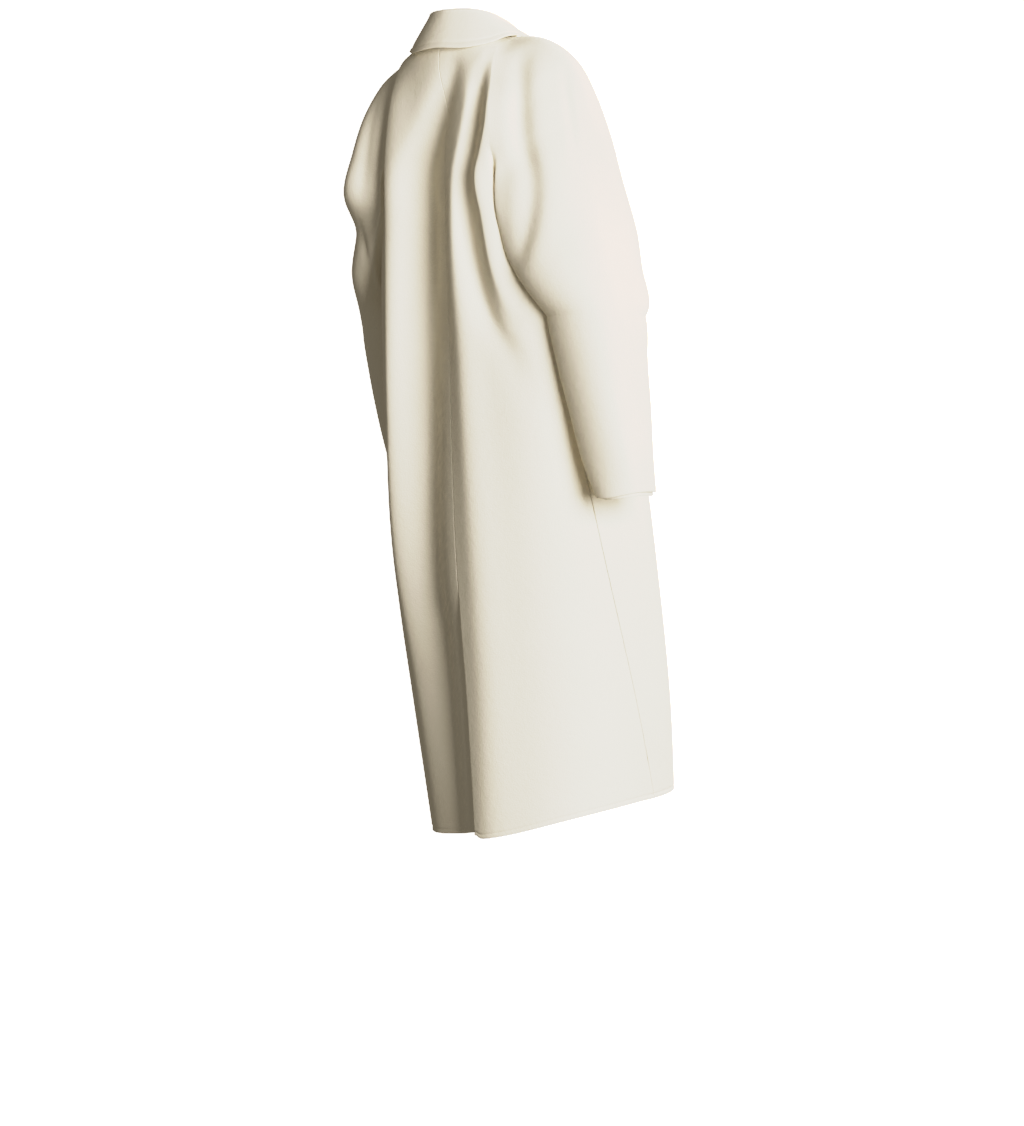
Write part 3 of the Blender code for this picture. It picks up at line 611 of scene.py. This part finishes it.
# Sections of a sleeve: the raglan drop it starts from (below the underarm, its own drop), the crest along its
# outside, the seam underneath, and for the back and front halves the direction in which the cloth leaves the
# seam (0 straight out, 90 straight back or forward) and the two handle lengths of its curve.
SLEEVE_COLUMNS = ("run crest_out crest_y crest_drop seam_out seam_y back_swing back_reach back_full "
                  "front_swing front_reach front_full")
SLEEVE_RIGHT = (
    (0.00, 0.075, -0.006, 0.000, 0.177, 0.014, -75, 0.010, 0.010, -75, 0.010, 0.010),
    (0.05, 0.148, -0.004, 0.009, 0.177, 0.014, -34, 0.031, 0.027, -35, 0.030, 0.040),
    (0.10, 0.195, -0.012, 0.040, 0.177, 0.014, -29, 0.045, 0.042, -12, 0.045, 0.050),
    (0.15, 0.222, -0.017, 0.088, 0.177, 0.014, -28, 0.055, 0.044, 0, 0.055, 0.055),
    (0.20, 0.235, -0.021, 0.148, 0.177, 0.014, -8, 0.044, 0.052, 8, 0.060, 0.072),
    (0.26, 0.238, -0.021, 0.222, 0.177, 0.014, 46, 0.030, 0.067, 20, 0.065, 0.090),
    (0.32, 0.252, -0.019, 0.298, 0.177, 0.014, 76, 0.038, 0.080, 30, 0.060, 0.114),
    (0.38, 0.278, -0.016, 0.370, 0.177, 0.014, 87, 0.051, 0.091, 42, 0.050, 0.128),
    (0.45, 0.302, -0.014, 0.450, 0.177, 0.014, 98, 0.037, 0.080, 40, 0.120, 0.135),
    (0.52, 0.311, -0.014, 0.520, 0.188, 0.006, 98, 0.032, 0.071, 55, 0.115, 0.122),
    (0.60, 0.317, -0.020, 0.600, 0.205, -0.005, 95, 0.030, 0.059, 70, 0.105, 0.116),
    (0.68, 0.323, -0.031, 0.680, 0.223, -0.020, 93, 0.031, 0.050, 84, 0.076, 0.100),
    (0.725, 0.322, -0.042, 0.725, 0.238, -0.034, 93, 0.040, 0.045, 90, 0.060, 0.090),
)
SLEEVE_LEFT = (
    (0.00, 0.075, -0.006, 0.000, 0.205, -0.090, -75, 0.010, 0.010, -75, 0.010, 0.010),
    (0.05, 0.126, -0.012, 0.022, 0.205, -0.090, -42, 0.028, 0.030, -35, 0.030, 0.040),
    (0.10, 0.169, -0.010, 0.054, 0.205, -0.090, -35, 0.016, 0.066, -12, 0.045, 0.060),
    (0.15, 0.195, 0.000, 0.103, 0.205, -0.090, -30, 0.016, 0.088, 0, 0.060, 0.075),
    (0.20, 0.216, 0.006, 0.165, 0.205, -0.090, -30, 0.016, 0.098, 10, 0.070, 0.085),
    (0.26, 0.241, 0.004, 0.240, 0.205, -0.090, -40, 0.020, 0.096, 20, 0.075, 0.095),
    (0.32, 0.276, -0.108, 0.305, 0.205, -0.090, 24, 0.060, 0.105, 35, 0.080, 0.110),
    (0.38, 0.295, -0.132, 0.375, 0.205, -0.090, 65, 0.080, 0.110, 60, 0.090, 0.115),
    (0.45, 0.326, -0.156, 0.450, 0.205, -0.090, 90, 0.080, 0.115, 90, 0.130, 0.105),
    (0.52, 0.338, -0.174, 0.520, 0.220, -0.140, 90, 0.090, 0.100, 90, 0.110, 0.100),
    (0.60, 0.341, -0.192, 0.600, 0.230, -0.182, 90, 0.085, 0.085, 90, 0.085, 0.085),
    (0.67, 0.340, -0.212, 0.670, 0.241, -0.210, 90, 0.070, 0.070, 90, 0.070, 0.070),
    (0.705, 0.338, -0.222, 0.705, 0.247, -0.222, 90, 0.060, 0.060, 90, 0.060, 0.060),
)

# Creases of the sleeves, as those of the body; the place is measured along the level line that crosses the
# view, from the coat's left to its right.
SLEEVE_RIGHT_FOLDS = (
    # the soft hollow that runs down from the shoulder and turns in towards the seam
    (
        (0.020, 0.090, 0.000, 0.018, 0.014),
        (0.050, 0.080, -0.004, 0.018, 0.014),
        (0.090, 0.078, -0.008, 0.019, 0.014),
        (0.190, 0.083, -0.009, 0.020, 0.016),
        (0.225, 0.092, -0.008, 0.020, 0.017),
        (0.320, 0.086, -0.006, 0.018, 0.016),
        (0.350, 0.080, -0.004, 0.015, 0.014),
        (0.385, 0.076, 0.000, 0.014, 0.014),
    ),
    # and the cloth that stands out along its right side
    (
        (0.020, 0.118, 0.000, 0.022, 0.018),
        (0.060, 0.108, 0.002, 0.024, 0.018),
        (0.190, 0.114, 0.003, 0.026, 0.018),
        (0.225, 0.122, 0.003, 0.026, 0.018),
        (0.320, 0.118, 0.003, 0.024, 0.018),
        (0.385, 0.100, 0.000, 0.020, 0.016),
    ),
    # a faint second one nearer the sleeve's outside
    (
        (0.050, 0.150, 0.000, 0.008, 0.008),
        (0.085, 0.152, -0.0022, 0.008, 0.008),
        (0.170, 0.163, -0.0020, 0.009, 0.009),
        (0.240, 0.172, 0.000, 0.010, 0.010),
    ),
    # shallow breaks across the inside of the elbow
    (
        (0.430, 0.200, 0.000, 0.030, 0.030),
        (0.500, 0.215, -0.0016, 0.030, 0.034),
        (0.600, 0.240, -0.0016, 0.026, 0.030),
        (0.690, 0.262, 0.000, 0.020, 0.024),
    ),
)
SLEEVE_LEFT_FOLDS = (
    # a shallow crease down from the shoulder
    (
        (0.060, -0.145, 0.000, 0.008, 0.010),
        (0.120, -0.160, -0.002, 0.008, 0.010),
        (0.230, -0.174, -0.002, 0.010, 0.010),
        (0.260, -0.176, 0.000, 0.010, 0.010),
    ),
    # and a sharper one that runs in below it towards the underarm
    (
        (0.270, -0.186, 0.000, 0.006, 0.008),
        (0.310, -0.176, -0.004, 0.006, 0.008),
        (0.380, -0.150, -0.004, 0.006, 0.008),
        (0.420, -0.138, 0.000, 0.006, 0.008),
    ),
)


def bezier(p0, p1, p2, p3, t):
    """Points of a cubic with those four control points, at the shares t of its run."""
    s = 1 - t
    return p0 * s**3 + 3 * p1 * s * s * t + 3 * p2 * s * t * t + p3 * t**3


def sleeve_points(sections, back_seam, front_seam, side, runs, shares):
    """A sleeve's grid, rows from neck to cuff and columns from the back seam round to the front: in each row
    two cubic curves, one from either seam to the crest along the outside. Towards the cuff the back dips by
    a bell curve of the way round."""
    s = through(sections, SLEEVE_COLUMNS, runs)
    under = stack(side * s["seam_out"], s["seam_y"], -runs)
    raglan = np.minimum(runs, UNDERARM)
    joined = (runs <= UNDERARM)[:, None]
    back = np.where(joined, body_point(seam_angle(back_seam, side, raglan), raglan), under)
    front = np.where(joined, body_point(seam_angle(front_seam, side, raglan), raglan), under)
    crest = stack(side * s["crest_out"], s["crest_y"], -s["crest_drop"])

    def half(seam, facing, swing, reach, full, share):
        """One half's rows: a cubic that leaves the seam at the swing and meets the crest front to back."""
        turn = np.radians(swing)
        leave = stack(side * np.cos(turn), facing * np.sin(turn), 0 * turn)
        start = seam + leave * reach[:, None]
        end = crest + stack(0 * full, facing * full, 0 * full)
        return bezier(seam[:, None], start[:, None], end[:, None], crest[:, None], share[None, :, None])

    to_crest, from_crest = shares[shares <= 0.5] * 2, 2 - shares[shares > 0.5] * 2
    rear = half(back, BACK, s["back_swing"], s["back_reach"], s["back_full"], to_crest)
    fore = half(front, FRONT, s["front_swing"], s["front_reach"], s["front_full"], from_crest)
    grid = np.concatenate([rear, fore], axis=1)
    cuff = sections[-1][0]
    behind = np.exp(-(((shares - CUFF_DIP_PLACE) / CUFF_DIP_WIDE) ** 2))
    grid[..., 2] -= CUFF_DIP * ramp(cuff - CUFF_DIP_HIGH, cuff, runs)[:, None] * behind
    return grid


shares = np.linspace(0, 1, SLEEVE_ACROSS)
creased = ramp(*CREASES_COME, shares) * (1 - ramp(*CREASES_GO, shares))
beside_seam = ramp(0.0, ROLL_EDGE, shares) * np.exp(-((shares / ROLL_WIDE) ** 2))
for word, sections, folds, back_seam, front_seam, side in (
    ("right", SLEEVE_RIGHT, SLEEVE_RIGHT_FOLDS, RAGLAN_BACK_RIGHT, RAGLAN_FRONT_RIGHT, RIGHT),
    ("left", SLEEVE_LEFT, SLEEVE_LEFT_FOLDS, RAGLAN_BACK_LEFT, RAGLAN_FRONT_LEFT, LEFT),
):
    cuff = sections[-1][0]
    runs = np.concatenate([BODY_ROWS[BODY_ROWS <= UNDERARM], np.linspace(UNDERARM, cuff, CUFF_ROWS)[1:]])
    points = sleeve_points(sections, back_seam, front_seam, side, runs, shares)
    rise = fold_rise(folds, points @ picture_right, -points[..., 2]) * creased
    rise += ROLL_RISE * (ramp(*ROLL_COMES, runs) * (1 - ramp(*ROLL_GOES, runs)))[:, None] * beside_seam
    points = (points - side * normals_of(points) * rise[..., None])[:, ::-side]
    sleeve = coat_piece("sleeve_%s_cloth" % word, *cloth_shell(points, bottom=EDGE_ROUND), wool, "wool",
                        "sleeve_" + word)

    runs = np.linspace(cuff - FACING_DEPTH, cuff, FACING_ROWS)
    points = sleeve_points(sections, back_seam, front_seam, side, runs, shares)[:, ::-side]
    points = points - normals_of(points) * (WALL + FACING_GAP)
    outside = 0.5 - 0.5 * np.cos(2 * np.pi * shares)
    points[..., 2] -= FACING_LIP * outside * ramp(cuff - FACING_DEPTH, cuff, runs)[:, None]
    facing = coat_piece("cuff_facing_%s_cloth" % word, *cloth_shell(
        points, FACING_WALL, bottom=FACING_ROUND), wool, "wool", "cuff_facing_" + word)

# Collar
# One piece of the same wool stands up from the neck seam, rolls over and falls on the shoulders, with a line
# of stitches along its outer edge; its ends are sewn to the lapels at the notch.
COLLAR_WALL = 0.003
COLLAR_FOOT = 0.0002
COLLAR_ENDS = 138
COLLAR_ROLL = 0.006
COLLAR_STITCH = 0.935
COLLAR_STITCH_WIDE = 0.016
COLLAR_ROWS = 161
COLLAR_ACROSS = 97
# Sections of the collar: the angle from the centre back in degrees, the height where it rolls over, how far
# in it leans there, and its outer edge's distance out and height.
COLLAR_COLUMNS = "angle roll_up roll_in edge_out edge_up"
COLLAR = (
    (0, 0.043, 0.016, 0.021, -0.021),
    (40, 0.042, 0.018, 0.024, -0.022),
    (60, 0.039, 0.019, 0.025, -0.014),
    (75, 0.036, 0.020, 0.024, -0.003),
    (100, 0.028, 0.018, 0.025, 0.001),
    (125, 0.018, 0.010, 0.033, -0.005),
    (COLLAR_ENDS, 0.014, 0.004, 0.036, -0.013),
)


def collar_points(places, shares):
    """The collar's outer face: at each place a smooth curve through ten points, each with its share of the
    way, distance out and height, up the stand from the neck seam, round the roll and down the fall."""
    s = through(COLLAR, COLLAR_COLUMNS, np.abs(np.degrees(places)))
    seam = body_point(places, 0 * places)
    out = unit(np.cross(up, np.gradient(seam, axis=0)))
    top, lean, r = s["roll_up"], s["roll_in"], COLLAR_ROLL
    fall_out, fall_up = 2 * r - lean, top - r
    long_out, long_up = s["edge_out"] - fall_out, s["edge_up"] - fall_up
    section = (
        (0.00, 0 * top - COLLAR_WALL, 0 * top + COLLAR_FOOT),
        (0.15, -COLLAR_WALL - 0.5 * lean, 0.40 * (top - r)),
        (0.30, -lean, top - r),
        (0.36, r * 0.3 - lean, top - 0.3 * r),
        (0.42, r - lean, top),
        (0.48, r * 1.7 - lean, top - 0.3 * r),
        (0.56, fall_out, fall_up),
        (0.71, fall_out + 0.35 * long_out, fall_up + 0.33 * long_up),
        (0.86, fall_out + 0.69 * long_out, fall_up + 0.67 * long_up),
        (1.00, s["edge_out"], s["edge_up"]),
    )
    names = " ".join("p%d" % i for i in range(1 + 2 * len(places)))
    flat = [np.concatenate([[row[0]], row[1], row[2]]) for row in section]
    read = np.stack(list(through(flat, names, shares).values())[1:])
    sideways, height = read[:len(places)], read[len(places):]
    return seam[:, None] + out[:, None] * sideways[..., None] + up * height[..., None]


places = np.radians(np.linspace(-COLLAR_ENDS, COLLAR_ENDS, COLLAR_ROWS))
shares = np.linspace(0, 1, COLLAR_ACROSS)
points = collar_points(places, shares)
stitch = STITCH_DEEP * np.exp(-(((shares - COLLAR_STITCH) / COLLAR_STITCH_WIDE) ** 2))
points = points - normals_of(points) * stitch[:, None]
collar = coat_piece("collar_cloth", *cloth_shell(
    points, COLLAR_WALL, top=EDGE_ROUND, bottom=EDGE_ROUND, last=EDGE_ROUND), wool, "wool", "collar")

# Lapels
# Each lapel is the front's own top, of the same wool, turned back along its roll line and pressed. The left
# one goes under the right front's edge, and only the part of it that shows is made.
LAPEL_WIDTH = 0.095
LAPEL_TIP = 0.002
LAPEL_BELLY = 0.7
LAPEL_TOP = 0.028
LAPEL_RIGHT_END = BREAK - 0.006
LAPEL_LEFT_END = 0.231
LAPEL_OFF_SEAM = 0.006
LAPEL_OFF_FRONT = 0.003
LAPEL_LEAST = 0.003
LAPEL_GAP = 0.0016
LAPEL_ROLL = 0.004
LAPEL_ROWS = 91
LAPEL_ACROSS = 41


def lapel_points(side):
    """A lapel: the front's own points from the roll line outwards, lifted off it by a wall, and swelling a
    little between its edges towards the top. Its width grows from the tip as a power of the height above the
    break, up to the raglan seam."""
    rows = np.linspace(0, 1, LAPEL_ROWS)
    columns = np.linspace(0, 1, LAPEL_ACROSS)
    deepest = LAPEL_RIGHT_END if side == RIGHT else LAPEL_LEFT_END
    drop = LAPEL_TOP + (deepest - LAPEL_TOP) * rows
    seam = through(RAGLAN_FRONT_RIGHT, SEAM_COLUMNS, drop)["out"] - LAPEL_OFF_SEAM
    edge = front_edge(drop)
    width = LAPEL_WIDTH * (1 - np.clip(drop / BREAK, 0, 1)) ** LAPEL_BELLY + LAPEL_TIP
    outer = np.minimum(width - edge, seam)
    beside_front = np.minimum(edge + LAPEL_OFF_FRONT, outer - LAPEL_LEAST)
    inner = -edge if side == RIGHT else np.maximum(-edge, beside_front)
    x = side * (inner[:, None] + (outer - inner)[:, None] * columns)
    drop = drop[:, None] + 0 * columns
    angle = angle_of(x, drop, FRONT)
    roll = LAPEL_ROLL * np.sin(np.pi * columns) * (1 - rows[:, None])
    return body_point(angle, drop, WALL + LAPEL_GAP + front_lift(x, drop, side) + roll)


for word, side, flat, area in (
    ("right", RIGHT, (0.12, 0.42), 0.022),
    ("left", LEFT, (0.12, 0.22), 0.0125),
):
    points = lapel_points(side)[:, ::side]
    lapel = coat_piece("lapel_%s_cloth" % word, *cloth_shell(
        points, top=EDGE_ROUND, bottom=EDGE_ROUND, first=EDGE_ROUND, last=EDGE_ROUND), wool, "wool",
        "lapel_" + word)

# Buttons
# Six turned buttons of pale horn-like resin in two rows of three, each with a dished face inside a rounded
# rim and a short shank that is sewn to the right front.
BUTTON_RADIUS = 0.014
BUTTON_SHANK = 0.004
BUTTON_OUT = 0.060
BUTTON_DROPS = (0.46, 0.575, 0.69)
BUTTON_STEPS = 96
# How far below and how far round from its seat the cloth is read, to find which way the button faces.
BESIDE_DROP = 0.005
BESIDE_TURN = 0.01
# Outline from the shank to the middle of the face: radius and height off the cloth.
BUTTON_PROFILE = np.array((
    (0.0000, 0.0004), (BUTTON_SHANK, 0.0004), (BUTTON_SHANK, 0.0016), (0.0125, 0.0016), (0.0133, 0.0018),
    (0.0138, 0.0024), (BUTTON_RADIUS, 0.0034), (0.0138, 0.0046), (0.0132, 0.0053), (0.0122, 0.0056),
    (0.0112, 0.0054), (0.0104, 0.0049), (0.0094, 0.0046), (0.0060, 0.0044), (0.0000, 0.0043),
))

# Cast resin that is made to look like horn, turned and polished: pale upright streaks, four times as long as
# they are wide, under a soft shine.
STREAK_SIZE = 0.004
STREAK_HEIGHT = 0.0002
STREAK_SCALE = (1.0, 1.0, 0.25)
HORN_DEEP = "#D2C4A2"
HORN_PALE = "#F2E8D2"

horn = bpy.data.materials.new("horn_resin")
horn.use_nodes = True
tree = horn.node_tree
tree.nodes.clear()
place = add_node(tree, "ShaderNodeTexCoord")
grain = add_node(tree, "ShaderNodeMapping", {"Vector": (place, "Object"), "Scale": STREAK_SCALE})
streak = add_node(tree, "ShaderNodeTexNoise", {
    "Vector": (grain, "Vector"), "Scale": 1 / STREAK_SIZE, "Detail": 4.0})
shade = add_node(tree, "ShaderNodeMix", {0: (streak, "Fac"), 6: linear(HORN_DEEP), 7: linear(HORN_PALE)},
                 data_type="RGBA")
turned = add_node(tree, "ShaderNodeBump", {
    "Height": (streak, "Fac"), "Strength": 0.2, "Distance": STREAK_HEIGHT})
resin = add_node(tree, "ShaderNodeBsdfPrincipled", {
    "Base Color": (shade, 2), "Roughness": 0.32, "Normal": (turned, "Normal"), "Coat Weight": 0.3,
    "Coat Roughness": 0.2})
add_node(tree, "ShaderNodeOutputMaterial", {"Surface": (resin, "BSDF")})


def turned_button(seat, towards):
    """Points and faces of a button: its outline carried round its axis in even steps, closed at both
    poles."""
    turns = np.arange(BUTTON_STEPS) / BUTTON_STEPS * 2 * np.pi
    side = unit(np.cross(towards, up))
    rise = np.cross(towards, side)
    ring = np.cos(turns)[:, None] * side + np.sin(turns)[:, None] * rise
    radius, height = BUTTON_PROFILE[1:-1].T
    points = (seat + radius[:, None, None] * ring + height[:, None, None] * towards).reshape(-1, 3)
    index = np.arange(len(points)).reshape(len(radius), BUTTON_STEPS)
    after = np.roll(index, -1, axis=1)
    faces = np.stack([index[:-1], after[:-1], after[1:], index[1:]], -1).reshape(-1, 4).tolist()
    poles = seat + BUTTON_PROFILE[[0, -1], 1][:, None] * towards
    low, high = len(points), len(points) + 1
    faces += np.stack([after[0], index[0], 0 * index[0] + low], -1).tolist()
    faces += np.stack([index[-1], after[-1], 0 * index[-1] + high], -1).tolist()
    return np.concatenate([points, poles]), faces


seats = [(drop, out) for drop in BUTTON_DROPS for out in (-BUTTON_OUT, BUTTON_OUT)]
for number, (drop, out) in enumerate(seats, start=1):
    x = np.array([out, out, out])
    down = np.array([drop, drop, drop + BESIDE_DROP])
    angle = angle_of(x, down, FRONT) + np.array([0, BESIDE_TURN, 0])
    seat, beside, below = body_point(angle, down, front_lift(x, down, RIGHT))
    towards = unit(np.cross(beside - seat, below - seat))
    towards = towards * -np.sign(towards[1])
    coat_piece("button_%d_horn" % number, *turned_button(seat, towards), horn, "button", "button_%d" % number)

# Floor and light
# A plain white paper floor that sweeps up into a wall all round, one large soft lamp to the right of the
# camera, a smaller one high in front of the coat, and a low warm glow from the room.
FLOOR_DROP = 1.70
FLOOR_PROFILE = ((0.0, 0.0), (4.0, 0.0), (12.0, 0.0), (15.0, 0.4), (17.0, 1.6), (18.0, 4.0), (18.0, 14.0))
FLOOR_STEPS = 96
# Matt paper, lit so evenly that it is white right up to the coat and a little brighter further off. It throws
# no light back on the coat, so that the folds keep their shade.
PAPER_WHITE = "#F4F3F0"
GLOW_NEAR, GLOW_FAR = 1.5, 1.7
GLOW_STARTS, GLOW_ENDS = 0.5, 5.0

paper = bpy.data.materials.new("white_paper")
paper.use_nodes = True
tree = paper.node_tree
tree.nodes.clear()
place = add_node(tree, "ShaderNodeTexCoord")
away = add_node(tree, "ShaderNodeVectorMath", {0: (place, "Object")}, operation="LENGTH")
far = add_node(tree, "ShaderNodeMapRange", {
    "Value": (away, "Value"), "From Min": GLOW_STARTS, "From Max": GLOW_ENDS,
    "To Min": GLOW_NEAR, "To Max": GLOW_FAR}, interpolation_type="SMOOTHSTEP")
glow = add_node(tree, "ShaderNodeEmission", {"Color": (1.0, 1.0, 1.0, 1.0), "Strength": (far, "Result")})
matt = add_node(tree, "ShaderNodeBsdfDiffuse", {"Color": linear(PAPER_WHITE)})
both = add_node(tree, "ShaderNodeAddShader", {0: (glow, "Emission"), 1: (matt, "BSDF")})
add_node(tree, "ShaderNodeOutputMaterial", {"Surface": (both, "Shader")})

radius, height = np.array(FLOOR_PROFILE).T
turns = np.arange(FLOOR_STEPS + 1) / FLOOR_STEPS * 2 * np.pi
points = stack(radius[:, None] * np.cos(turns), radius[:, None] * np.sin(turns), height[:, None])
index = np.arange(points[..., 0].size).reshape(len(radius), -1)
faces = np.stack([index[:-1, :-1], index[1:, :-1], index[1:, 1:], index[:-1, 1:]], -1).reshape(-1, 4)
mesh = bpy.data.meshes.new("floor")
mesh.from_pydata(points.reshape(-1, 3), [], faces)
mesh.shade_smooth()
mesh.materials.append(paper)
floor = bpy.data.objects.new("floor", mesh)
floor.location.z = -FLOOR_DROP
floor.visible_diffuse = False
floor.visible_glossy = False
floor.visible_shadow = False
bpy.context.scene.collection.objects.link(floor)


def soft_lamp(name, turn, rise, distance, size, power, colour):
    """A square lamp that faces the coat's middle, from that rise above level and that turn round the coat,
    measured as the camera's own."""
    turn, rise = np.radians(turn), np.radians(rise)
    way = np.array([-np.sin(turn) * np.cos(rise), np.cos(turn) * np.cos(rise), np.sin(rise)])
    lamp = bpy.data.objects.new(name, bpy.data.lights.new(name, "AREA"))
    lamp.data.energy = power
    lamp.data.size = size
    lamp.data.color = colour
    lamp.location = way * distance + up * VIEW_HEIGHT
    lamp.rotation_euler = Vector(way).to_track_quat("Z", "Y").to_euler()
    bpy.context.scene.collection.objects.link(lamp)


soft_lamp("key", turn=69, rise=10, distance=4.0, size=2.0, power=172, colour=(0.98, 0.98, 1.0))
soft_lamp("front", turn=168, rise=44, distance=4.0, size=1.4, power=95, colour=(1.0, 0.98, 0.95))

room = bpy.data.worlds.new("studio")
room.use_nodes = True
bpy.context.scene.world = room
tree = room.node_tree
tree.nodes.clear()
air = add_node(tree, "ShaderNodeBackground", {"Color": (1.0, 0.94, 0.82, 1.0), "Strength": 0.14})
add_node(tree, "ShaderNodeOutputWorld", {"Surface": (air, "Background")})

# The picture's own tone, as a photograph prints it. Each light and its tone: mid greys are lifted, and bright
# lights held back until the light that prints white. Each light and the green and blue left of it: both are
# drawn down in bright lights, so that the wool there is a warm cream while the paper stays white.
WHITE_LIGHT = 1.4
TONE = ((0.10, 0.12), (0.22, 0.31), (0.36, 0.54), (0.52, 0.71), (0.72, 0.79), (1.0, 0.84))
WARMTH = (
    (0.10, 0.099, 0.097),
    (0.36, 0.350, 0.340),
    (0.52, 0.500, 0.475),
    (0.72, 0.685, 0.620),
    (1.00, 0.920, 0.770),
    (1.14, 1.040, 0.880),
)

picture = bpy.context.scene.view_settings
picture.view_transform = "Standard"
picture.use_curve_mapping = True
picture.curve_mapping.white_level = (WHITE_LIGHT,) * 3
_, green_curve, blue_curve, tone_curve = picture.curve_mapping.curves
for light, tone in TONE:
    tone_curve.points.new(light / WHITE_LIGHT, tone)
for light, green, blue in WARMTH:
    green_curve.points.new(light / WHITE_LIGHT, green / WHITE_LIGHT)
    blue_curve.points.new(light / WHITE_LIGHT, blue / WHITE_LIGHT)
picture.curve_mapping.update()
